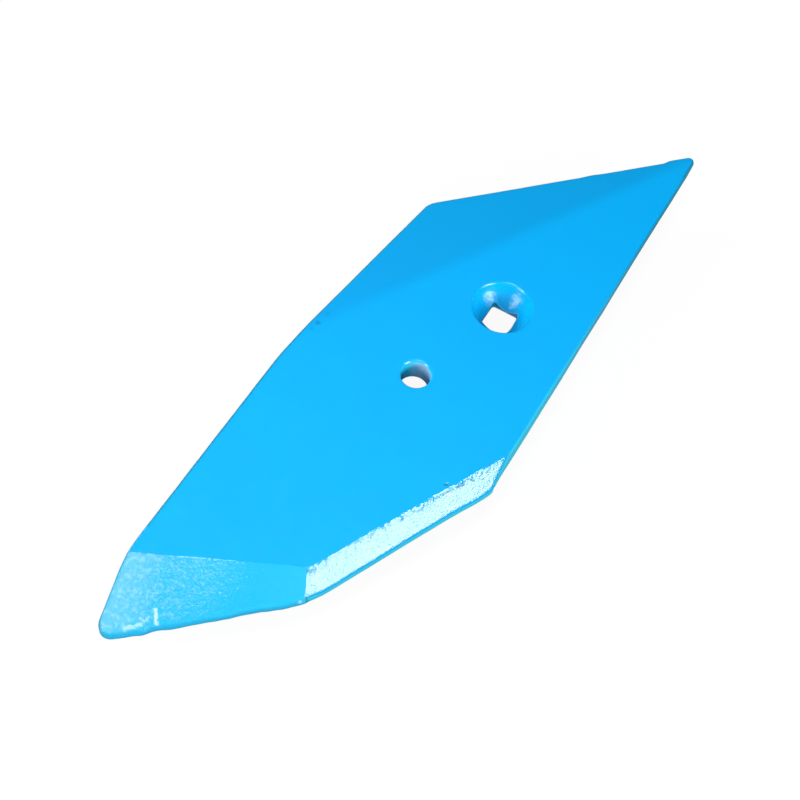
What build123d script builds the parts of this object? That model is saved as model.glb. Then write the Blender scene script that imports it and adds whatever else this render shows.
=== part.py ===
from build123d import *
import os
from math import cos, radians, sin, tan

# Share point for a mouldboard plough: one forging, pressed and trimmed from a steel flat.
# The origin is on the underside, on the axis of the square bolt hole. X runs along the blade
# towards the tail, Y across it away from the landside edge, and Z up out of the worn face.

# Blade, in mm and degrees
blade_thickness = 12.0
blade_width = 110.0
landside_margin = 39.0          # square hole axis to the straight landside edge
tail_reach = 136.6              # square hole axis to the sharp tail corner
tail_angle = 48.5               # tail edge to the landside edge
tail_tip_radius = 3.2

# Nose, the end that cuts
nose_reach = 227.5              # square hole axis to the sharp nose corner
nose_angle = 46.3               # cutting edge to the landside edge
nose_side_angle = 12.9          # how much the outer edge turns in towards the nose
nose_side_length = 36.5         # along that turned-in edge
nose_corner_radius = 5.0
nose_taper_angle = 62.9         # back line of the forged taper to the landside edge
nose_land = 4.0                 # steel left under the taper at the cutting edge
toe_radius = 6.0                # corner between the cutting edge and the bevelled edge

# Side bevel, along the short edge from the nose to the landside edge
heel_reach = 82.0               # square hole axis to the corner at the end of that edge
heel_radius = 9.0
side_angle = 24.8               # bevelled edge to the landside edge
side_bevel_width = 7.5          # at the toe
side_bevel_heel_width = 6.7
side_bevel_land = 4.5           # steel left under the bevel

# Wing, the corner that is pressed down along an oblique fold
fold_distance = 31.6            # square hole axis to the fold, square to it
fold_line_angle = 28.55         # fold to the landside edge
fold_angle = 18.0
fold_inner_radius = 1.0
wing_start = 79.0               # square hole axis back to where the outer edge turns
wing_side_angle = 3.7           # outer edge of the wing to the landside edge
wing_corner_radius = 9.0
outer_edge_radius = 80.0        # the two slight turns in the outer edge

# Holes, for M12 plough bolts
square_across_flats = 13.0
square_corner_radius = 1.5
countersink_diameter = 28.0
countersink_floor = 1.5         # steel left where the seat meets the flats of the square
countersink_sag = 1.2           # how far the seat is dished outside a straight cone
round_hole_diameter = 13.5
round_hole_back = 53.6          # from the square hole, along the blade
round_hole_aside = 15.2         # from the square hole, across the blade

rim_radius = 1.8                # upper edges, forged soft
hole_rim_radius = 1.2
edge_break = 1.2                # at the foot of both tapers


def heading(angle):
    """Unit vector in the plan, at an angle from X in degrees."""
    return Vector(cos(radians(angle)), sin(radians(angle)))


def crossing(start, angle, other_start, other_angle):
    """Where two lines in the plan cross, each given by a point and an angle."""
    along, other = heading(angle), heading(other_angle)
    gap = other_start - start
    return start + along * ((gap.X * other.Y - gap.Y * other.X) / (along.X * other.Y - along.Y * other.X))


# Sharp corners of the plan outline
landside_y = -landside_margin
outer_y = landside_y + blade_width
tail = Vector(tail_reach, landside_y)
heel = Vector(-heel_reach, landside_y)
nose = Vector(-nose_reach, outer_y - nose_side_length * sin(radians(nose_side_angle)))
nose_shoulder = nose + heading(nose_side_angle) * nose_side_length
toe = crossing(nose, -nose_angle, heel, -side_angle)
wing_root = Vector(-wing_start, outer_y)
wing_corner = crossing(wing_root, -wing_side_angle, tail, -tail_angle)

# Slabs and cutters are longer than the blade and reach above it
beyond = 2 * (nose_reach + tail_reach)
above = 3 * blade_thickness


def blade_outline():
    """The plan of the blade, with its corners rounded."""
    corners = {
        tail: tail_tip_radius,
        wing_corner: wing_corner_radius,
        wing_root: outer_edge_radius,
        nose_shoulder: outer_edge_radius,
        nose: nose_corner_radius,
        toe: toe_radius,
        heel: heel_radius,
    }
    return make_face(FilletPolyline(*corners, radius=corners.values(), close=True))


def folded_slab():
    """An oversize slab as thick as the blade, pressed down along the fold."""
    top_crease = Vector(0, blade_thickness)
    under_crease = Vector(-blade_thickness * tan(radians(fold_angle / 2)), 0)
    down_the_wing = heading(-fold_angle) * beyond
    corners = {
        Vector(-beyond, 0): 0,
        under_crease: fold_inner_radius,
        top_crease + down_the_wing - heading(90 - fold_angle) * blade_thickness: 0,
        top_crease + down_the_wing: 0,
        top_crease: fold_inner_radius + blade_thickness,
        Vector(-beyond, blade_thickness): 0,
    }
    section = make_face(FilletPolyline(*corners, radius=corners.values(), close=True))
    across_fold = heading(90 - fold_line_angle)
    along_fold = heading(-fold_line_angle)
    fold_plane = Plane(across_fold * fold_distance, x_dir=across_fold, z_dir=along_fold)
    return extrude(fold_plane * section, beyond, both=True)


def taper_cutter(back_start, back_end, foot_start, foot_end, foot_height):
    """What a taper removes: it falls from a line on the top face to a line at foot_height.

    Both lines run past their ends, so the taper runs out through the sides of the blade. Past
    the foot it turns down steeply, which breaks the edge there.
    """
    def section(share):
        back = back_start + (back_end - back_start) * share + Vector(0, 0, blade_thickness)
        foot = foot_start + (foot_end - foot_start) * share + Vector(0, 0, foot_height)
        fall = foot - back
        inner, turn = back - fall * 0.3, foot - fall.normalized() * edge_break
        outer = foot + (foot - Vector(0, 0, edge_break) - turn) * 3
        lift = Vector(0, 0, above)
        return make_face(Polyline(inner, turn, outer, outer + lift, inner + lift, close=True))

    return loft([section(-0.3), section(1.3)], ruled=True)


def nose_taper():
    """The nose is drawn down to a cutting edge, steeper towards the toe."""
    bevel_top = toe + heading(90 - side_angle) * side_bevel_width
    back_end = crossing(nose_shoulder, -nose_taper_angle, bevel_top, -side_angle)
    return taper_cutter(nose_shoulder, back_end, nose, toe, nose_land)


def side_bevel():
    inward = heading(90 - side_angle)
    back_start, back_end = toe + inward * side_bevel_width, heel + inward * side_bevel_heel_width
    return taper_cutter(back_start, back_end, toe, heel, side_bevel_land)


def square_hole():
    """A square through hole, in a dished seat that holds the bolt head."""
    square = RectangleRounded(square_across_flats, square_across_flats, square_corner_radius)
    rim = Vector(countersink_diameter / 2, 0, blade_thickness)
    floor = Vector(square_across_flats / 2, 0, countersink_floor)
    fall = floor - rim
    dished = (rim + floor) / 2 + Vector(-fall.Z, 0, fall.X).normalized() * countersink_sag
    seat = make_face(
        ThreePointArc(rim, dished, floor)
        + Polyline(floor, (0, 0, countersink_floor), (0, 0, above), (rim.X, 0, above), rim)
    )
    return extrude(square, above, both=True) + revolve(seat, Axis.Z)


def round_hole():
    bore = Cylinder(round_hole_diameter / 2, 2 * above)
    return Pos(-round_hole_back, round_hole_aside, 0) * bore


def upper_rims(blade):
    """The edges where an upright wall meets a face that looks up."""
    walls = [face for face in blade.faces() if abs(face.normal_at().Z) < 0.01]
    upper = [face for face in blade.faces() if face.normal_at().Z > 0.1]
    upper_edges = {edge for face in upper for edge in face.edges()}
    return [edge for wall in walls for edge in wall.edges() if edge in upper_edges]


def hole_rims(blade):
    """The circles on the worn face around the bolt seat and the round hole."""
    circles = blade.edges().filter_by(GeomType.CIRCLE)
    return circles.filter_by(lambda edge: abs(edge.center().Z - blade_thickness) < 0.01)


def share_point():
    blade = folded_slab() & extrude(blade_outline(), beyond, both=True)
    blade = fillet(upper_rims(blade), rim_radius)
    blade = blade - nose_taper() - side_bevel() - round_hole() - square_hole()
    return fillet(hole_rims(blade), hole_rim_radius)


os.makedirs("parts", exist_ok=True)
share = share_point()
export_step(share, "parts/share_point.step")
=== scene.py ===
"""Plowshare point: the forged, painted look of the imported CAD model, for Blender 4.5."""
from math import cos, pi, radians, sin, tan

import bpy
import numpy as np
from mathutils import Matrix, Vector
from mathutils.geometry import delaunay_2d_cdt


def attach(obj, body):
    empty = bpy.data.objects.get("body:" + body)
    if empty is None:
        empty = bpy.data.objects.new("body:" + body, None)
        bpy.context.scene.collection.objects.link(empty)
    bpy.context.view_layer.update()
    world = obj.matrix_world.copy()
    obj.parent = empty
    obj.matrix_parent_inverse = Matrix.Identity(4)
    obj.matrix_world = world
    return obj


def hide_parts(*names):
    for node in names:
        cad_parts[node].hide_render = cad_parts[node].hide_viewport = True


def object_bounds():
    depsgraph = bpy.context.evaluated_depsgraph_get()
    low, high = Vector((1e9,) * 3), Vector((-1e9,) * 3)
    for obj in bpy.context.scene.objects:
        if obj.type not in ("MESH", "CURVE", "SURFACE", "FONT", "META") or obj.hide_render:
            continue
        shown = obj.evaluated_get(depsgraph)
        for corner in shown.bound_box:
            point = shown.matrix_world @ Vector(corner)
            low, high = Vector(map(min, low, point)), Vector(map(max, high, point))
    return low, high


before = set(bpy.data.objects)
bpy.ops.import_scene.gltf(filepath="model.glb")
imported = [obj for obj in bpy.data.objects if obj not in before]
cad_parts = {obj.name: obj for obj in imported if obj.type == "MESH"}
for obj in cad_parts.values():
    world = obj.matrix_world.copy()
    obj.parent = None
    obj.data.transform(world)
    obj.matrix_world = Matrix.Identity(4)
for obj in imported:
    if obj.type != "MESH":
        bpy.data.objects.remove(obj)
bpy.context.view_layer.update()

# Sizes in mm and degrees, as in the CAD model, in its frame
THICKNESS = 12.0
OUTER_Y, LANDSIDE_Y = 71.0, -39.0
TAIL_X, HEEL_X, NOSE_X, WING_ROOT_X = 136.6, -82.0, -227.5, -79.0
NOSE_SIDE_LENGTH, NOSE_SIDE_ANGLE = 36.5, 12.9
CUTTING_ANGLE, SIDE_ANGLE, WING_SIDE_ANGLE, TAIL_ANGLE = 46.3, 24.8, 3.7, 48.5
NOSE_TAPER_ANGLE = 62.9
BEVEL_WIDTH, BEVEL_HEEL_WIDTH = 7.5, 6.7
NOSE_LAND, BEVEL_LAND = 4.0, 4.5
FOLD_ANGLE, FOLD_LINE_ANGLE, FOLD_DISTANCE = 18.0, 28.55, 31.6
SEAT_RADIUS = 14.0
SQUARE_HALF, SQUARE_CORNER = 6.5, 1.5
BORE = np.array([-53.6, 15.2])
BORE_RADIUS = 6.75

# Sizes of the look alone, in mm and degrees
TAIL_RADIUS, WING_RADIUS, NOSE_RADIUS, TOE_RADIUS, HEEL_RADIUS = 2.3, 9, 5, 5, 8
OUTER_TURN_RADIUS = 80
FOLD_SOFTNESS, UNDER_FOLD_SOFTNESS = 3.6, 0.4
SEAT_FLOOR = 0.7
SEAT_SLOPE, COLLAR_SLOPE = 51.5, 71.0
SEAT_COLLAR_BLEND, SEAT_RIM_BLEND = 1.5, 1.7
UPPER_RIM, BEVEL_FOOT_RIM, UNDER_RIM, SQUARE_RIM = 1.8, 1.1, 0.7, 0.45
LANDSIDE_DRAFT = 0.9

# Spacing of the mesh, in mm
OUTLINE_SPACING, CREASE_SPACING = 1.15, 0.55
MARK_SPACING, TAPER_SPACING, FOLD_SPACING, FACE_SPACING = 0.31, 0.62, 1.0, 1.6
UNDER_SPACING = 2.6
PLAN_LOW, PLAN_HIGH = (-235, -45), (145, 78)


# Noise and small helpers

def smoothstep(low, high, value):
    share = np.clip((value - low) / (high - low), 0, 1)
    return share * share * (3 - 2 * share)


def soft_min(a, b, blend):
    near = np.maximum(blend - np.abs(a - b), 0) / blend
    return np.minimum(a, b) - near * near * blend / 4


def noise(points, scale, seed):
    """Smooth noise, about -1 to 1, with features about scale mm across, at (n, 3) points."""
    rng = np.random.RandomState(seed)
    table = rng.permutation(256)
    gradients = rng.normal(size=(256, 3))
    gradients /= np.linalg.norm(gradients, axis=1)[:, None]
    # The shift keeps z = 0 off the planes of the lattice, whose corners always have noise 0
    place = points / scale + 1000.37
    cell = np.floor(place).astype(int)
    inside = place - cell
    fade = inside ** 3 * (inside * (inside * 6 - 15) + 10)
    total = np.zeros(len(points))
    for corner in np.ndindex(2, 2, 2):
        x, y, z = ((cell + corner) & 255).T
        index = table[(table[(table[x] + y) & 255] + z) & 255]
        weight = np.prod(np.where(np.array(corner) == 1, fade, 1 - fade), axis=1)
        total += weight * np.sum(gradients[index] * (inside - corner), axis=1)
    return total * 1.7


def plan_noise(plan, scale, seed):
    return noise(np.column_stack([plan, np.zeros(len(plan))]), scale, seed)


def heading(angle):
    """Unit vector in the plan, at an angle from X in degrees."""
    return np.array([cos(radians(angle)), sin(radians(angle))])


def crossing(start, angle, other_start, other_angle):
    """Where two lines in the plan cross, each given by a point and an angle."""
    along, other, gap = heading(angle), heading(other_angle), other_start - start
    turn = along[0] * other[1] - along[1] * other[0]
    return start + along * (gap[0] * other[1] - gap[1] * other[0]) / turn


def bump(value, centre, width):
    return np.exp(-((value - centre) / width) ** 2)


def spot(plan, place, radius):
    """A round bump of height 1 about a place in the plan."""
    return np.exp(-np.sum((plan - place) ** 2, axis=1) / radius ** 2)


def along_edge(points, start, end):
    """Share of the way from start to end, and the distance from that line, of each point."""
    run = end - start
    length = np.linalg.norm(run)
    offset = points - start
    across = np.array([-run[1], run[0]])
    return offset @ run / length ** 2, np.abs(offset @ across) / length


# Plan of the blade

tail = np.array([TAIL_X, LANDSIDE_Y])
heel = np.array([HEEL_X, LANDSIDE_Y])
nose = np.array([NOSE_X, OUTER_Y - NOSE_SIDE_LENGTH * sin(radians(NOSE_SIDE_ANGLE))])
nose_shoulder = nose + heading(NOSE_SIDE_ANGLE) * NOSE_SIDE_LENGTH
toe = crossing(nose, -CUTTING_ANGLE, heel, -SIDE_ANGLE)
wing_root = np.array([WING_ROOT_X, OUTER_Y])
wing_corner = crossing(wing_root, -WING_SIDE_ANGLE, tail, -TAIL_ANGLE)
across_fold = heading(90 - FOLD_LINE_ANGLE)

bevel_inward = heading(90 - SIDE_ANGLE)
bevel_back = (toe + bevel_inward * BEVEL_WIDTH, heel + bevel_inward * BEVEL_HEEL_WIDTH)
nose_back_end = crossing(nose_shoulder, -NOSE_TAPER_ANGLE, bevel_back[0], -SIDE_ANGLE)


def rounded_outline(corners, step):
    """Points about step apart round a closed polygon, each corner with its own radius."""
    places = [np.array(corner) for corner, radius in corners]
    points = []
    for index, (corner, radius) in enumerate(corners):
        before, after = places[index - 1], places[(index + 1) % len(places)]
        into = (corner - before) / np.linalg.norm(corner - before)
        out = (after - corner) / np.linalg.norm(after - corner)
        turn = np.arctan2(into[0] * out[1] - into[1] * out[0], into @ out)
        reach = radius * tan(abs(turn) / 2)
        side = np.array([-into[1], into[0]]) * np.sign(turn)
        centre = corner - into * reach + side * radius
        steps = max(8, int(abs(turn) * radius / (step * 0.6)))
        for angle in np.linspace(0, turn, steps + 1):
            spoke = -side * radius
            points.append(centre + np.array([spoke[0] * cos(angle) - spoke[1] * sin(angle),
                                             spoke[0] * sin(angle) + spoke[1] * cos(angle)]))
    filled = []
    for index, point in enumerate(points):
        after = points[(index + 1) % len(points)]
        gap = np.linalg.norm(after - point)
        count = max(1, int(round(gap / step)))
        filled += [point + (after - point) * share / count for share in range(count)]
    return np.array(filled)


def outward(ring):
    """Unit normals of a closed ring of points that runs counterclockwise."""
    along = np.roll(ring, -1, axis=0) - np.roll(ring, 1, axis=0)
    along /= np.linalg.norm(along, axis=1)[:, None]
    return np.column_stack([along[:, 1], -along[:, 0]])


def worn_outline():
    """The outline as it left the trim: straight by eye, with its few real dents and lumps."""
    corners = [(tail, TAIL_RADIUS), (wing_corner, WING_RADIUS), (wing_root, OUTER_TURN_RADIUS),
               (nose_shoulder, OUTER_TURN_RADIUS), (nose, NOSE_RADIUS), (toe, TOE_RADIUS),
               (heel, HEEL_RADIUS)]
    ring = rounded_outline(corners, OUTLINE_SPACING)
    normals = outward(ring)
    push = 0.10 * plan_noise(ring, 30, 3) + 0.06 * plan_noise(ring, 7, 4)

    # The cutting edge is full in the middle and rippled
    share, off = along_edge(ring, nose, toe)
    cutting = (off < 4) * smoothstep(-0.02, 0.08, share) * smoothstep(1.03, 0.96, share)
    ripple = 0.55 * np.sin(np.clip(share, 0, 1) * pi) + 0.30 * plan_noise(ring, 9, 5)
    ripple += 0.16 * plan_noise(ring, 4, 6)
    for lump, centre, width in ((0.35, 0.235, 0.03), (-0.45, 0.31, 0.035),
                                (0.40, 0.87, 0.08), (-0.35, 0.75, 0.06)):
        ripple += lump * bump(share, centre, width)
    push += cutting * ripple

    # A lump on the tail edge, and the fuller tail tip
    share, off = along_edge(ring, tail, wing_corner)
    push += (off < 3) * 0.45 * bump(share, 0.40, 0.03)
    at_tail = smoothstep(0.135, 0.10, share) * (ring[:, 0] > 100)
    push += 1.25 * at_tail * np.clip(normals @ heading(41.5), 0, 1)

    # The bevelled edge stands out a little, with a notch just past the heel
    share, off = along_edge(ring, toe, heel)
    full = smoothstep(0, 0.1, share) * (0.5 + 0.4 * smoothstep(0.7, 0.15, share))
    push += smoothstep(3, 0.4, off) * (0.35 * bump(share, 0.92, 0.07) + full)
    push -= 0.45 * spot(ring, (-79.3, -38.8), 0.9)
    return ring + normals * push[:, None]


# Heights of the two faces

def taper_share(plan, back_start, back_end, foot_start, foot_end):
    """How far down a taper each point lies, 0 on its back line and 1 on its foot.

    Also how far along the back line it lies.
    """
    run, spread = back_end - back_start, (foot_end - foot_start) - (back_end - back_start)
    drop = foot_start - back_start
    across = np.array([-run[1], run[0]])
    offset = plan - back_start
    along = offset @ run / (run @ run)
    for _ in range(12):
        fall = drop + np.clip(along, -0.4, 1.3)[:, None] * spread
        down = (offset @ across) / (fall @ across)
        along = (offset - np.clip(down, -0.3, 1.5)[:, None] * fall) @ run / (run @ run)
    return down, along


def nose_place(plan):
    return taper_share(plan, nose_shoulder, nose_back_end, nose, toe)


def bevel_place(plan):
    return taper_share(plan, *bevel_back, toe, heel)


def folded(plan, distance, level, width):
    """A level sheet that turns down past a line at that distance, over twice that width."""
    past = plan @ across_fold - distance
    slope = tan(radians(FOLD_ANGLE))
    bend = np.clip(past + width, 0, 2 * width)
    return level - slope * (bend * bend / (4 * width) + np.maximum(past - width, 0))


def under_height(plan):
    distance = FOLD_DISTANCE - THICKNESS * tan(radians(FOLD_ANGLE / 2))
    return folded(plan, distance, 0.0, UNDER_FOLD_SOFTNESS)


def worn_faces(plan):
    """Heights of the three faces that meet on top: the folded sheet, the nose taper, the bevel."""
    sheet = folded(plan, FOLD_DISTANCE, THICKNESS, FOLD_SOFTNESS)
    down, _ = nose_place(plan)
    nose_height = THICKNESS + (NOSE_LAND - THICKNESS) * down
    nose_height -= 0.12 * smoothstep(0, 0.025, down)
    nose_height += 0.10 * plan_noise(plan, 14, 8)
    nose_height += 0.9 * spot(plan, (-158.5, 3.5), 4.5)
    down, along = bevel_place(plan)
    bevel_height = THICKNESS + (BEVEL_LAND - THICKNESS) * down
    bevel_height += 0.08 * plan_noise(plan, 12, 9) - 0.3 * np.sin(np.clip(along, 0, 1) * pi) - 0.5
    ragged = 0.38 * plan_noise(plan, 1.5, 11) + 0.22 * plan_noise(plan, 6, 12)
    bevel_height += ragged * smoothstep(0.22, 0.02, down) - 0.55 / (1 + np.exp(along / 0.04))
    return sheet, nose_height, bevel_height


def top_height(plan):
    """The worn face without its texture."""
    sheet, nose_height, bevel_height = worn_faces(plan)
    return np.minimum(np.minimum(sheet, nose_height), bevel_height)


def crease(start, end, first, second):
    """The worn line between two of the faces, found by looking across its drawn place."""
    run = end - start
    length = np.linalg.norm(run)
    across = np.array([-run[1], run[0]]) / length
    places = start + run * np.arange(0, 1, CREASE_SPACING / length)[:, None]
    offsets, step = np.linspace(-3, 3, 61, retstep=True)
    plan = (places[:, None] + across * offsets[:, None]).reshape(-1, 2)
    faces = worn_faces(plan)
    gap = (faces[first] - faces[second]).reshape(len(places), -1)
    turns = (gap[:, 1:] > 0) != (gap[:, :-1] > 0)
    near = np.where(turns, np.abs(offsets[:-1]), 9).argmin(axis=1)
    rows = np.arange(len(places))
    before, after = gap[rows, near], gap[rows, near + 1]
    shift = offsets[near] + step * before / (before - after)
    return (places + across * shift[:, None])[turns.any(axis=1)]


def creases(ring):
    """The three lines where the sheet, the nose taper and the bevel meet, clear of the rim."""
    lines = []
    for start, end, first, second in ((nose_shoulder, nose_back_end, 0, 1),
                                      (bevel_back[0], bevel_back[1], 0, 2),
                                      (nose_back_end, toe, 1, 2)):
        line = crease(start, end, first, second)
        faces = worn_faces(line)
        on_top = faces[3 - first - second] > faces[first] + 0.05
        clear = inside_ring(line, ring) & (ring_distance(line, ring) > 0.45) & on_top
        lines.append(line[clear])
    return lines


# Single marks on the worn face

# (place, radius, depth): pits at the wing root and single flecks
PITS = [((-53.4, 65.5), 0.8, 0.35), ((-58, 66), 0.7, 0.15), ((-46.6, 64.5), 0.7, 0.12),
        ((-113.7, 55.3), 0.5, 0.15)]
# (start, end, half width, depth): the scar and scuffs at the nose corner
SCARS = [((-203.8, 48.5), (-208.6, 45.0), 0.8, 0.28), ((-217.4, 55.1), (-211.5, 49.5), 0.6, 0.20),
         ((-207.6, 49.0), (-210.8, 49.4), 0.6, 0.15), ((-210.1, 51.5), (-210.3, 49.7), 0.5, 0.12)]
# The crack at the toe and the fleck above the bevel
CRACKS = [((-167.6, 1.2), (-167.9, -0.8), 0.35, 0.25), ((-95.5, -22.1), (-94.3, -23.6), 0.4, 0.30)]
# On the bevel, near the heel
SCRATCHES = [((-93.2, -27.0), (-89.9, -29.2), 0.35, 0.05),
             ((-87.7, -28.7), (-85.4, -31.9), 0.35, 0.05),
             ((-83.2, -33.5), (-81.7, -34.7), 0.30, 0.05),
             ((-99.8, -23.6), (-95.2, -25.9), 0.30, 0.04)]
STROKES = SCARS + CRACKS + SCRATCHES


def marks(plan):
    """Depth of the single marks, in mm."""
    depth = np.zeros(len(plan))
    for place, radius, deep in PITS:
        depth += deep * spot(plan, place, radius)
    for start, end, width, deep in STROKES:
        share, off = along_edge(plan, np.array(start), np.array(end))
        ends = smoothstep(-0.15, 0.1, share) * smoothstep(1.15, 0.9, share)
        depth += deep * ends * np.exp(-(off / width) ** 2)
    return depth


def peel_strength(plan):
    """Where the forged orange peel lies: over the nose, strongest at its outer side."""
    down, along = nose_place(plan)
    return smoothstep(-0.012, 0.012, down) * (0.35 + 0.65 * smoothstep(0.9, 0.1, along))


def hammering(plan):
    """Texture of the worn face."""
    peel = 0.10 * plan_noise(plan, 1.9, 21) + 0.07 * plan_noise(plan, 1.3, 22)
    face = 0.030 * plan_noise(plan, 26, 24) + 0.010 * plan_noise(plan, 7, 25)
    return peel_strength(plan) * peel + face


def forged_top(plan):
    """The worn face with its texture, without the single marks."""
    return top_height(plan) + hammering(plan)


# Mesh of the forging

class Skin:
    """Collects vertices, faces and the edges that stay sharp."""

    def __init__(self):
        self.points, self.faces, self.sharp, self.count = [], [], set(), 0

    def add(self, points):
        start = self.count
        self.points.append(np.asarray(points, float))
        self.count += len(points)
        return np.arange(start, self.count)

    def bridge(self, upper, lower):
        """Quads between two closed rings of the same length, seen from outside."""
        for a, b, c, d in zip(upper, np.roll(upper, -1), np.roll(lower, -1), lower):
            self.faces.append((int(a), int(d), int(c), int(b)))

    def add_wall(self, rings):
        """Adds rings that run down the outer wall, and joins them."""
        indices = [self.add(ring) for ring in rings]
        for upper, lower in zip(indices, indices[1:]):
            self.bridge(upper, lower)
        return indices[0], indices[-1]

    def add_hole(self, rings):
        """Adds rings that run down inside a hole, and joins them."""
        indices = [self.add(ring) for ring in rings]
        for upper, lower in zip(indices, indices[1:]):
            self.bridge(lower, upper)
        return indices[0], indices[-1]

    def patch(self, rings, inner, height, facing_up, lines=()):
        """Fills between closed rings with triangles through the inner points, creased at lines."""
        place = np.concatenate(self.points)
        border = np.concatenate(rings)
        plan = np.concatenate([place[border, :2], *lines, inner])
        edges, start = [], 0
        for ring in rings:
            edges += [(start + i, start + (i + 1) % len(ring)) for i in range(len(ring))]
            start += len(ring)
        folds = []
        for line in lines:
            folds += [(start + i, start + i + 1) for i in range(len(line) - 1)]
            start += len(line)
        edges += folds
        found = delaunay_2d_cdt([Vector(p) for p in plan], edges, [], 0, 1e-6)
        plan_out, triangles, origin = np.array([tuple(v) for v in found[0]]), found[2], found[3]
        known = {}
        for out, sources in enumerate(origin):
            if sources and sources[0] < len(border):
                known[out] = int(border[sources[0]])
        fresh = [out for out in range(len(plan_out)) if out not in known]
        added = self.add(np.column_stack([plan_out[fresh], height(plan_out[fresh])]))
        known.update(zip(fresh, (int(v) for v in added)))
        reached = {source: known[out] for out, sources in enumerate(origin) for source in sources}
        self.sharp |= {tuple(sorted((reached[a], reached[b]))) for a, b in folds}
        triangles = np.array(triangles)
        centres = plan_out[triangles].mean(axis=1)
        keep = inside_ring(centres, place[rings[0], :2])
        for ring in rings[1:]:
            keep &= ~inside_ring(centres, place[ring, :2])
        for triangle in triangles[keep]:
            a, b, c = plan_out[triangle]
            turn = (b[0] - a[0]) * (c[1] - a[1]) - (b[1] - a[1]) * (c[0] - a[0])
            corners = [known[v] for v in triangle]
            self.faces.append(tuple(corners if (turn > 0) == facing_up else corners[::-1]))


def inside_ring(points, ring):
    """Which points lie inside a closed polygon."""
    inside = np.zeros(len(points), bool)
    for (ax, ay), (bx, by) in zip(ring, np.roll(ring, -1, axis=0)):
        if ay == by:
            continue
        spans = (ay > points[:, 1]) != (by > points[:, 1])
        inside ^= spans & (points[:, 0] < (bx - ax) * (points[:, 1] - ay) / (by - ay) + ax)
    return inside


def ring_distance(points, ring):
    """Distance of each point to the nearest point of a ring."""
    nearest = np.full(len(points), np.inf)
    for corner in ring:
        nearest = np.minimum(nearest, np.sum((points - corner) ** 2, axis=1))
    return np.sqrt(nearest)


def grid(spacing):
    """A grid of equal-sided triangles over the whole plan, a little uneven."""
    rows = np.arange(PLAN_LOW[1], PLAN_HIGH[1], spacing * 0.866)
    columns = np.arange(PLAN_LOW[0], PLAN_HIGH[0], spacing)
    x, y = np.meshgrid(columns, rows)
    x = x + np.where(np.arange(len(rows)) % 2, spacing / 2, 0)[:, None]
    points = np.column_stack([x.ravel(), y.ravel()])
    shift = np.column_stack([plan_noise(points, 1.3, 31), plan_noise(points, 1.3, 32)])
    return points + 0.08 * spacing * shift


def inner_points(rings, spacing_of, levels):
    """Grid points inside the first ring and outside the others, finer where spacing_of asks."""
    chosen = []
    for spacing in levels:
        points = grid(spacing)
        points = points[np.isclose(spacing_of(points), spacing)]
        points = points[inside_ring(points, rings[0])]
        for ring in rings[1:]:
            points = points[~inside_ring(points, ring)]
        clear = np.min([ring_distance(points, ring) for ring in rings], axis=0)
        chosen.append(points[clear > 0.55 * spacing])
    return np.concatenate(chosen)


def top_spacing(plan):
    """Spacing of the mesh on the worn face: finest round the marks, fine on the tapers."""
    nose_down, _ = nose_place(plan)
    bevel_down, _ = bevel_place(plan)
    tapered = (nose_down > -0.08) | (bevel_down > -0.35)
    by_fold = np.abs(plan @ across_fold - FOLD_DISTANCE) < 4
    marked = np.zeros(len(plan), bool)
    for start, end, *_ in STROKES:
        share, off = along_edge(plan, np.array(start), np.array(end))
        marked |= (off < 1.6) & (share > -0.4) & (share < 1.4)
    return np.select([marked, tapered, by_fold],
                     [MARK_SPACING, TAPER_SPACING, FOLD_SPACING], FACE_SPACING)


def circle(centre, radius, count):
    angles = np.arange(count) * 2 * pi / count
    return centre + radius * np.column_stack([np.cos(angles), np.sin(angles)])


def seat_height(radius):
    """The bolt seat: a cone up from the flats of the square, with a steeper collar at its rim."""
    collar = THICKNESS - (SEAT_RADIUS - radius) * tan(radians(COLLAR_SLOPE))
    cone = SEAT_FLOOR + (radius - SQUARE_HALF) * tan(radians(SEAT_SLOPE))
    return -soft_min(-collar, -cone, SEAT_COLLAR_BLEND)


def square_reach(angles):
    """Distance from the hole's axis to the rounded square, in each direction."""
    turned = np.abs((angles + pi / 4) % (pi / 2) - pi / 4)
    flat = SQUARE_HALF / np.cos(turned)
    arc = SQUARE_HALF - SQUARE_CORNER
    near = arc * (np.cos(turned) + np.sin(turned))
    corner = near + np.sqrt(np.maximum(SQUARE_CORNER ** 2 - 2 * arc ** 2 + near ** 2, 0))
    return np.where(np.tan(turned) * SQUARE_HALF > arc, corner, flat)


def rim_radius_at(plan):
    """Forged roundness of the upper edge: fuller along the outer half of the cutting edge."""
    radius = np.full(len(plan), UPPER_RIM)
    share, off = along_edge(plan, nose, toe)
    radius = np.where(off < 5, 1.5 + 1.3 * smoothstep(0.75, 0.15, share), radius)
    share, off = along_edge(plan, toe, heel)
    radius = np.where((off < 4) & (share > 0.03), BEVEL_FOOT_RIM, radius)
    # Evened out round the ring, over nine of its points
    return np.convolve(np.concatenate([radius[-4:], radius, radius[:4]]), np.ones(9) / 9,
                       mode="valid")


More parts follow.
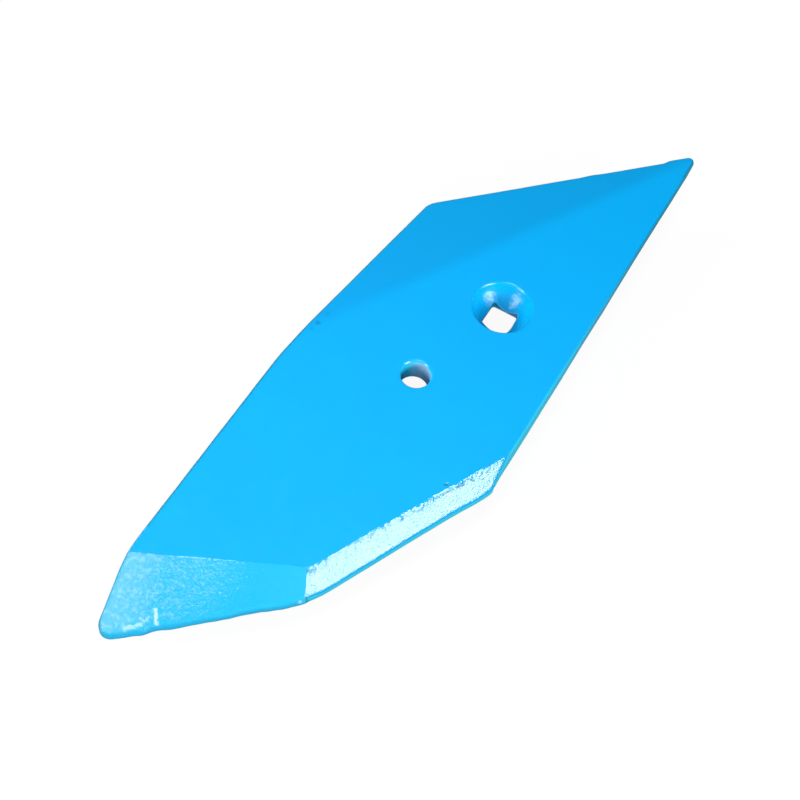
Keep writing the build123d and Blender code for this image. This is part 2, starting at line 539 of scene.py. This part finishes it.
def edge_rings():
    """Rings from the worn face over the upper rim, down the wall and round to the underside."""
    outline = worn_outline()
    normals = outward(outline)
    rim = rim_radius_at(outline)

    # Upper rim, from the wall up to the worn face
    rings = []
    for angle in np.linspace(0, pi / 2, 7):
        plan = outline - normals * (rim * (1 - cos(angle)))[:, None]
        level = top_height(plan) + hammering(plan) * sin(angle) - marks(plan)
        rings.append(np.column_stack([plan, level - rim * (1 - sin(angle))]))
    rings.reverse()

    # Wall, with the roughness of a forged and trimmed edge, drawn in along the landside
    edge_top = rings[-1][:, 2]
    edge_bottom = under_height(outline) + UNDER_RIM
    x, y = outline.T
    draft = LANDSIDE_DRAFT * smoothstep(-60, 120, x)
    draft = draft * smoothstep(LANDSIDE_Y + 6, LANDSIDE_Y + 2, y)
    for share in np.linspace(0, 1, 9)[1:]:
        level = edge_top + (edge_bottom - edge_top) * share
        points = np.column_stack([outline, level])
        rough = 0.10 * noise(points * (1, 1, 2.0), 5, 41) + 0.16 * noise(points, 14, 42)
        push = rough * sin(share * pi) - draft * share
        rings.append(points + np.column_stack([normals * push[:, None], np.zeros(len(outline))]))

    # Lower rim
    for angle in np.linspace(0, pi / 2, 4)[1:]:
        plan = outline - normals * (draft + UNDER_RIM * (1 - cos(angle)))[:, None]
        rings.append(np.column_stack([plan, under_height(plan) + UNDER_RIM * (1 - sin(angle))]))
    return rings


def seat_rings():
    """Rings down the bolt seat and the square hole."""
    count = 160
    angles = np.arange(count) * 2 * pi / count
    spokes = np.column_stack([np.cos(angles), np.sin(angles)])
    reach = square_reach(angles)
    cone_top = 13.2
    radii = [np.full(count, radius)
             for radius in (*np.linspace(16.2, 14.6, 4), *np.linspace(14.4, cone_top, 8))]
    radii += [cone_top + (reach + SQUARE_RIM - cone_top) * share
              for share in np.linspace(0, 1, 17)[1:]]
    rings = []
    for radius in radii:
        plan = spokes * radius[:, None]
        level = soft_min(forged_top(plan), seat_height(radius), SEAT_RIM_BLEND)
        rough = 0.05 * plan_noise(plan, 4, 61) + 0.045 * plan_noise(plan, 1.6, 62)
        level += rough * smoothstep(14.2, 13, radius)
        rings.append(np.column_stack([plan, level]))
    for angle in np.linspace(pi / 2, 0, 4)[1:]:
        radius = reach + SQUARE_RIM * (1 - sin(angle))
        level = seat_height(reach + SQUARE_RIM) - SQUARE_RIM * cos(angle)
        rings.append(np.column_stack([spokes * radius[:, None], level]))
    for level, wider in ((0.62, 0), (0.36, 0), (0.12, 0.1), (0.0, 0.35)):
        radius = reach + wider
        rings.append(np.column_stack([spokes * radius[:, None], np.full(count, level)]))
    return rings


def bore_rings():
    """Rings down the round hole, with a small worn chamfer at its rim."""
    count = 96
    # (distance outside the bore, depth under the worn face)
    profile = [(1.3, 0), (0.85, 0.03), (0.68, 0.11), (0.40, 0.44), (0.12, 0.78), (0.03, 0.93),
               (0, 1.15)]
    rings = []
    for reach, depth in profile:
        plan = circle(BORE, BORE_RADIUS + reach, count)
        rings.append(np.column_stack([plan, forged_top(plan) - depth]))
    wall_top = rings[-1][:, 2]
    for share in np.linspace(0, 1, 8)[1:]:
        level = wall_top + (0.3 - wall_top) * share
        rings.append(np.column_stack([circle(BORE, BORE_RADIUS - 0.22 * share, count), level]))
    rings.append(np.column_stack([circle(BORE, BORE_RADIUS - 0.17, count), np.full(count, 0.1)]))
    rings.append(np.column_stack([circle(BORE, BORE_RADIUS, count), np.zeros(count)]))
    return rings


def forging():
    """The whole skin of the part."""
    skin = Skin()
    edge = skin.add_wall(edge_rings())
    seat = skin.add_hole(seat_rings())
    bore = skin.add_hole(bore_rings())
    place = np.concatenate(skin.points)

    top_rings = [edge[0], seat[0], bore[0]]
    inner = inner_points([place[ring, :2] for ring in top_rings], top_spacing,
                         (MARK_SPACING, TAPER_SPACING, FOLD_SPACING, FACE_SPACING))
    lines = creases(place[edge[0], :2])
    inner = inner[np.min([ring_distance(inner, line) for line in lines], axis=0) > 0.38]
    skin.patch(top_rings, inner, lambda plan: forged_top(plan) - marks(plan), True, lines)

    under_rings = [edge[1], seat[1], bore[1]]
    inner = inner_points([place[ring, :2] for ring in under_rings],
                         lambda plan: np.full(len(plan), UNDER_SPACING), (UNDER_SPACING,))
    skin.patch(under_rings, inner,
               lambda plan: under_height(plan) + 0.04 * plan_noise(plan, 12, 51), False)
    return skin


skin = forging()
points = np.concatenate(skin.points)
mesh = bpy.data.meshes.new("share_point_forging")
mesh.from_pydata((points / 1000).tolist(), [], skin.faces)
mesh.validate()
mesh.polygons.foreach_set("use_smooth", [True] * len(mesh.polygons))
for edge in mesh.edges:
    edge.use_edge_sharp = tuple(sorted(edge.vertices)) in skin.sharp
forged = bpy.data.objects.new("share_point_forging", mesh)
bpy.context.collection.objects.link(forged)
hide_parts("share_point")
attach(forged, "root")


# Masks of the paint: each gives one value, 0 to 1, for every vertex

# (start, end, half width, strength): where the paint is rubbed off the scar and the scuffs
SCUFFS = [((-203.8, 48.7), (-208.6, 44.9), 1.15, 0.9), ((-217.4, 55.1), (-211.5, 49.5), 1.3, 0.65),
          ((-210.1, 51.9), (-210.3, 49.5), 0.9, 0.6), ((-207.4, 49.0), (-210.8, 49.4), 0.8, 0.5),
          ((-170.0, 3.0), (-169.8, 1.2), 0.7, 0.5)]


def streak(plan, start, end, width):
    """A soft-edged stroke between two points of the plan."""
    share, off = along_edge(plan, np.array(start), np.array(end))
    ends = smoothstep(-0.06, 0.04, share) * smoothstep(1.06, 0.96, share)
    return ends * smoothstep(width, 0.4 * width, off)


def scuffs_and_glints(points):
    """Where the paint is pale: rubbed at the scar and the scuffs, with painted glints over the
    outer side of the nose.
    """
    plan = points[:, :2]
    amount = np.zeros(len(plan))
    frayed = 0.75 + 0.5 * plan_noise(plan, 1.4, 71) + 0.45 * plan_noise(plan, 0.8, 74)
    for start, end, width, strength in SCUFFS:
        amount = np.maximum(amount, strength * streak(plan, start, end, width * frayed))
    _, along = nose_place(plan)
    # Painted glints: a pale band and pale specks over the outer side of the nose
    glint_specks = smoothstep(0.1, 0.6, plan_noise(plan, 1.5, 75)) * smoothstep(0.7, 0.0, along)
    rubbed = 0.16 * smoothstep(0.30, 0.02, along) + 0.26 * glint_specks
    rubbed = rubbed * drawn_down(points) * (1 - on_walls(points))
    return np.maximum(amount, rubbed) * (points[:, 2] > 2)


def dirt_and_shade(points):
    """Where dirt and painted shade darken the paint: pits, the crack at the toe, fleck and
    scratches.
    """
    plan = points[:, :2]
    amount = np.zeros(len(plan))
    for place, radius, deep in PITS:
        amount = np.maximum(amount, spot(plan, place, radius * 1.1) * min(1, 2.2 * deep))
    for start, end, width, _ in CRACKS:
        amount = np.maximum(amount, 0.7 * streak(plan, start, end, 1.5 * width))
    frayed = 1.0 + 0.7 * plan_noise(plan, 1.1, 73)
    for start, end, width, _ in SCRATCHES:
        amount = np.maximum(amount, 0.8 * streak(plan, start, end, width * frayed))
    return amount


def inside_holes(points):
    """1 on the walls of the two holes, 0 on the faces and the bolt seat."""
    from_square = np.hypot(points[:, 0], points[:, 1])
    angles = np.arctan2(points[:, 1], points[:, 0])
    square = smoothstep(0.5, 0.1, from_square - square_reach(angles))
    from_bore = np.hypot(*(points[:, :2] - BORE).T)
    bore = smoothstep(0.3, 0.05, from_bore - BORE_RADIUS) * smoothstep(11.4, 10.6, points[:, 2])
    return np.maximum(square, bore * (from_bore < 8))


def hole_side(points):
    """In the holes, 1 on the side away from the landside edge, where the wall looks greener."""
    plan = points[:, :2]
    by_bore = np.hypot(*(plan - BORE).T) < 10
    return smoothstep(0, 6.8, plan[:, 1] - np.where(by_bore, BORE[1], 0))


def on_walls(points):
    """1 on the upright outer walls, 0 on the faces."""
    plan = points[:, :2]
    below = forged_top(plan) - marks(plan) - points[:, 2]
    above = points[:, 2] - under_height(plan)
    outside = (np.hypot(*plan.T) > 17) & (np.hypot(*(plan - BORE).T) > 9)
    # On the far side the painted wall shade starts nearer the top edge, as a thin dark line along
    # it
    far = plan @ heading(70) > 5
    start = np.where(far, 0.03, 0.15)
    full = np.where(far, 0.30, 0.70)
    return smoothstep(start, full, below) * smoothstep(0.1, 0.5, above) * outside


def by_bevel(points):
    """1 beside the bevel, fading out along the landside edge."""
    plan = points[:, :2]
    share, off = along_edge(plan, toe, heel)
    beside = smoothstep(7, 4, off) * smoothstep(-0.02, 0.01, share) * (share < 1.1)
    landside = smoothstep(90, -60, plan[:, 0]) * (plan[:, 1] < LANDSIDE_Y + 4)
    return np.maximum(beside, landside)


def lit_walls(points):
    """The walls that catch the light, given painted light: under the bevel and along the landside
    edge.
    """
    return on_walls(points) * by_bevel(points)


def shaded_walls(points):
    """The other walls, darkened with painted shade, weaker along the cutting edge."""
    _, off = along_edge(points[:, :2], nose, toe)
    return on_walls(points) * (1 - by_bevel(points)) * (1 - 0.7 * smoothstep(6, 3, off))


def in_seat(points):
    return smoothstep(14.8, 13, np.hypot(points[:, 0], points[:, 1]))


def on_bevel(points):
    sheet, nose_height, bevel_height = worn_faces(points[:, :2])
    return smoothstep(0, 0.3, np.minimum(sheet, nose_height) - bevel_height)


def drawn_down(points):
    """1 on the nose taper."""
    down, _ = nose_place(points[:, :2])
    return smoothstep(-0.012, 0.006, down) * (1 - on_bevel(points))


def grained(points):
    """Where the orange peel shows: over the nose, and weaker on the bevel and in the bolt seat."""
    peel = peel_strength(points[:, :2]) * drawn_down(points)
    return np.maximum(peel, np.maximum(0.31 * on_bevel(points), 0.5 * in_seat(points)))


masks = {"peel": grained, "nose": drawn_down, "bevel": on_bevel, "scuff_and_glint": scuffs_and_glints, "grime_and_shade": dirt_and_shade,
         "hole": inside_holes, "side": hole_side, "seat": in_seat,
         "wall": shaded_walls, "land": lit_walls}
for name, mask in masks.items():
    layer = mesh.attributes.new(name, "FLOAT", "POINT")
    layer.data.foreach_set("value", mask(points).astype(np.float32))


# Paint

class Nodes:
    """Short hands for building a node tree."""

    def __init__(self, tree):
        self.tree = tree
        tree.nodes.clear()

    def node(self, kind, **settings):
        made = self.tree.nodes.new(kind)
        for name, value in settings.items():
            setattr(made, name, value)
        return made

    def feed(self, socket, value):
        if isinstance(value, bpy.types.NodeSocket):
            self.tree.links.new(value, socket)
        else:
            socket.default_value = value

    def math(self, operation, first, second):
        made = self.node("ShaderNodeMath", operation=operation)
        self.feed(made.inputs[0], first)
        self.feed(made.inputs[1], second)
        return made.outputs[0]

    def mask(self, name):
        return self.node("ShaderNodeAttribute", attribute_name=name).outputs["Fac"]

    def noise(self, place, scale, detail=2.0, roughness=0.5):
        made = self.node("ShaderNodeTexNoise")
        self.feed(made.inputs["Vector"], place)
        self.feed(made.inputs["Scale"], scale)
        self.feed(made.inputs["Detail"], detail)
        self.feed(made.inputs["Roughness"], roughness)
        return made.outputs["Fac"]

    def band(self, value, low, high, to_low=0.0, to_high=1.0):
        made = self.node("ShaderNodeMapRange", interpolation_type="SMOOTHSTEP")
        for socket, number in zip(made.inputs, (value, low, high, to_low, to_high)):
            self.feed(socket, number)
        return made.outputs["Result"]

    def blend(self, share, first, second):
        made = self.node("ShaderNodeMix", data_type="RGBA")
        self.feed(made.inputs[0], share)
        self.feed(made.inputs[6], first)
        self.feed(made.inputs[7], second)
        return made.outputs[2]


def enamel():
    """Glossy sky-blue enamel over forged steel, rubbed and dulled where the part is, with painted
    light and shade on its tail, bevel, seat, holes and walls.
    """
    material = bpy.data.materials.new("blue_enamel")
    material.use_nodes = True
    n = Nodes(material.node_tree)
    place = n.node("ShaderNodeTexCoord").outputs["Object"]
    (peel, drawn, bevel, scuff_and_glint, grime_and_shade,
     hole, side, seat, wall, land) = (n.mask(name) for name in masks)

    apart = n.node("ShaderNodeSeparateXYZ")
    n.feed(apart.inputs["Vector"], place)
    # Painted shade: the paint darkens from the nose towards the tail, standing in for light
    # falling off along the part
    tail_shade = n.band(apart.outputs["X"], -0.20, 0.13)
    cloud = n.band(n.noise(place, 38, 3.0), 0.35, 0.65)
    speck = n.band(n.noise(place, 900, 1.0), 0.70, 0.78)
    # Painted light: the hole walls are lighter than the paint, for the light the deep holes lack,
    # and greyer on the side near the landside edge
    lightened_hole_wall = n.blend(side, (0.38, 0.62, 0.84, 1), (0.01, 0.64, 0.90, 1))
    colour = n.blend(cloud, (0.008, 0.428, 0.965, 1), (0.008, 0.442, 0.980, 1))
    # Each layer lies over the one before: (where, how much, colour); some are painted light and
    # shade
    layers = [(tail_shade, 0.9, (0.0, 0.365, 0.800, 1)),
              (drawn, 0.9, (0.012, 0.435, 0.750, 1)),
              # Painted shade: the bevel has the same paint as the rest, set darker so the lamp's
              # glare on it reads grey-white
              (bevel, 0.9, (0.0, 0.300, 0.590, 1)),
              (speck, 0.12, (0.0, 0.28, 0.70, 1)),
              # Painted shade: a teal tint in the bolt seat, for the colour of the shade in the
              # recess
              (seat, 0.5, (0.0, 0.43, 0.78, 1)),
              # Painted light on the walls of the holes
              (hole, 0.9, lightened_hole_wall),
              # Painted shade on the walls in the shade
              (wall, 0.9, (0.0, 0.20, 0.30, 1)),
              # Painted light: a lighter teal on the walls that catch the light
              (land, 0.9, (0.02, 0.50, 0.66, 1)),
              # Dirt, with painted shade, in the pits, the crack and the scratches
              (grime_and_shade, 0.85, (0.0, 0.09, 0.13, 1)),
              # Pale paint: worn at the scar and scuffs, painted glints on the nose's outer side
              (scuff_and_glint, 0.8, (0.60, 0.85, 0.93, 1))]
    for where, amount, paint in layers:
        colour = n.blend(n.math("MULTIPLY", where, amount), colour, paint)

    shader = n.node("ShaderNodeBsdfPrincipled")
    n.feed(shader.inputs["Base Color"], colour)
    gloss = n.band(n.noise(place, 120, 3.0), 0.3, 0.7, 0.14, 0.19)
    for where, rougher in ((n.math("MAXIMUM", wall, land), 0.3), (drawn, 0.08), (seat, 0.02),
                           (n.math("MAXIMUM", scuff_and_glint, grime_and_shade), 0.3)):
        gloss = n.math("ADD", gloss, n.math("MULTIPLY", where, rougher))
    n.feed(shader.inputs["Roughness"], gloss)
    shader.inputs["IOR"].default_value = 1.5

    fine_depth = n.math("ADD", n.math("MULTIPLY", peel, 2.3), 0.04)
    coarse_depth = n.math("ADD", wall, 0.08)
    relief = n.math("ADD", n.math("MULTIPLY", n.noise(place, 950, 2.0, 0.55), fine_depth),
                    n.math("MULTIPLY", n.noise(place, 300, 2.0, 0.5), coarse_depth))
    bump_node = n.node("ShaderNodeBump")
    bump_node.inputs["Strength"].default_value = 1.0
    bump_node.inputs["Distance"].default_value = 0.00018
    n.feed(bump_node.inputs["Height"], relief)
    n.feed(shader.inputs["Normal"], bump_node.outputs["Normal"])
    output = n.node("ShaderNodeOutputMaterial")
    n.feed(output.inputs["Surface"], shader.outputs["BSDF"])
    return material


mesh.materials.append(enamel())


# Floor, world, lights and camera

def floor_and_world():
    """A white floor and a white world to the camera, both dim to everything else."""
    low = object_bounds()[0][2]
    floor_mesh = bpy.data.meshes.new("floor")
    reach = 6.0
    corners = [(-reach, -reach, low), (reach, -reach, low),
               (reach, reach, low), (-reach, reach, low)]
    floor_mesh.from_pydata(corners, [], [(0, 1, 2, 3)])
    floor = bpy.data.objects.new("floor", floor_mesh)
    bpy.context.collection.objects.link(floor)
    material = bpy.data.materials.new("floor_white")
    material.use_nodes = True
    n = Nodes(material.node_tree)
    seen = n.node("ShaderNodeLightPath").outputs["Is Camera Ray"]
    mix = n.node("ShaderNodeMixShader")
    n.feed(mix.inputs["Fac"], n.math("MULTIPLY", seen, 0.93))
    matte = n.node("ShaderNodeBsdfDiffuse")
    n.feed(matte.inputs["Color"], n.blend(seen, (0.2, 0.2, 0.2, 1), (1, 1, 1, 1)))
    white = n.node("ShaderNodeEmission")
    n.feed(mix.inputs[1], matte.outputs["BSDF"])
    n.feed(mix.inputs[2], white.outputs["Emission"])
    n.feed(n.node("ShaderNodeOutputMaterial").inputs["Surface"], mix.outputs["Shader"])
    floor_mesh.materials.append(material)

    world = bpy.data.worlds.new("studio")
    bpy.context.scene.world = world
    world.use_nodes = True
    n = Nodes(world.node_tree)
    seen = n.node("ShaderNodeLightPath").outputs["Is Camera Ray"]
    mix = n.node("ShaderNodeMixShader")
    n.feed(mix.inputs["Fac"], seen)
    for index, strength in ((1, 0.06), (2, 1.0)):
        light = n.node("ShaderNodeBackground")
        light.inputs["Color"].default_value = (1, 1, 1, 1)
        light.inputs["Strength"].default_value = strength
        n.feed(mix.inputs[index], light.outputs["Background"])
    n.feed(n.node("ShaderNodeOutputWorld").inputs["Surface"], mix.outputs["Shader"])


def softbox(name, azimuth, elevation, distance, width, height, radiance):
    """A rectangular softbox that looks at the middle of the part."""
    data = bpy.data.lights.new(name, "AREA")
    data.shape = "RECTANGLE"
    data.size, data.size_y = width, height
    data.energy = radiance * pi * width * height
    lamp = bpy.data.objects.new(name, data)
    aim = Vector((-0.045, 0.016, 0.0))
    direction = Vector((cos(radians(azimuth)) * cos(radians(elevation)),
                        sin(radians(azimuth)) * cos(radians(elevation)), sin(radians(elevation))))
    lamp.location = aim + direction * distance
    lamp.rotation_euler = direction.to_track_quat("Z", "Y").to_euler()
    bpy.context.collection.objects.link(lamp)
    return lamp


def photo_camera():
    """The camera at the photo's angle: its lens, its place, and where it is turned."""
    data = bpy.data.cameras.new("photo_camera")
    data.lens, data.sensor_width, data.sensor_fit = 67.5, 36.0, "HORIZONTAL"
    data.clip_start, data.clip_end = 0.01, 50
    camera = bpy.data.objects.new("photo_camera", data)
    bpy.context.collection.objects.link(camera)
    place = (-0.398609, -0.114433, 0.556643)
    right = Vector((0.494178, -0.864201, 0.094576))
    up = Vector((0.706027, 0.462427, 0.536365))
    back = -Vector((0.507261, 0.198287, -0.838671))
    turned = Matrix((right, up, back)).transposed().to_4x4()
    camera.matrix_world = Matrix.Translation(place) @ turned
    bpy.context.scene.camera = camera


floor_and_world()
softbox("softbox_right", -99, 17.5, 1.3, 0.64, 0.42, 18.5)
softbox("softbox_left", 150, 18, 1.3, 0.48, 0.46, 14.5)
softbox("softbox_above", 90, 87.7, 1.5, 0.53, 0.44, 12.0)
# The two fills only lighten the shade, on the wing and in the holes, and aren't mirrored
softbox("fill_back", 80, 22, 1.5, 0.60, 0.60, 11.5).visible_glossy = False
softbox("fill_front", -160, 38, 1.5, 1.0, 1.0, 2.0).visible_glossy = False
photo_camera()
bpy.context.scene.view_settings.view_transform = "Standard"
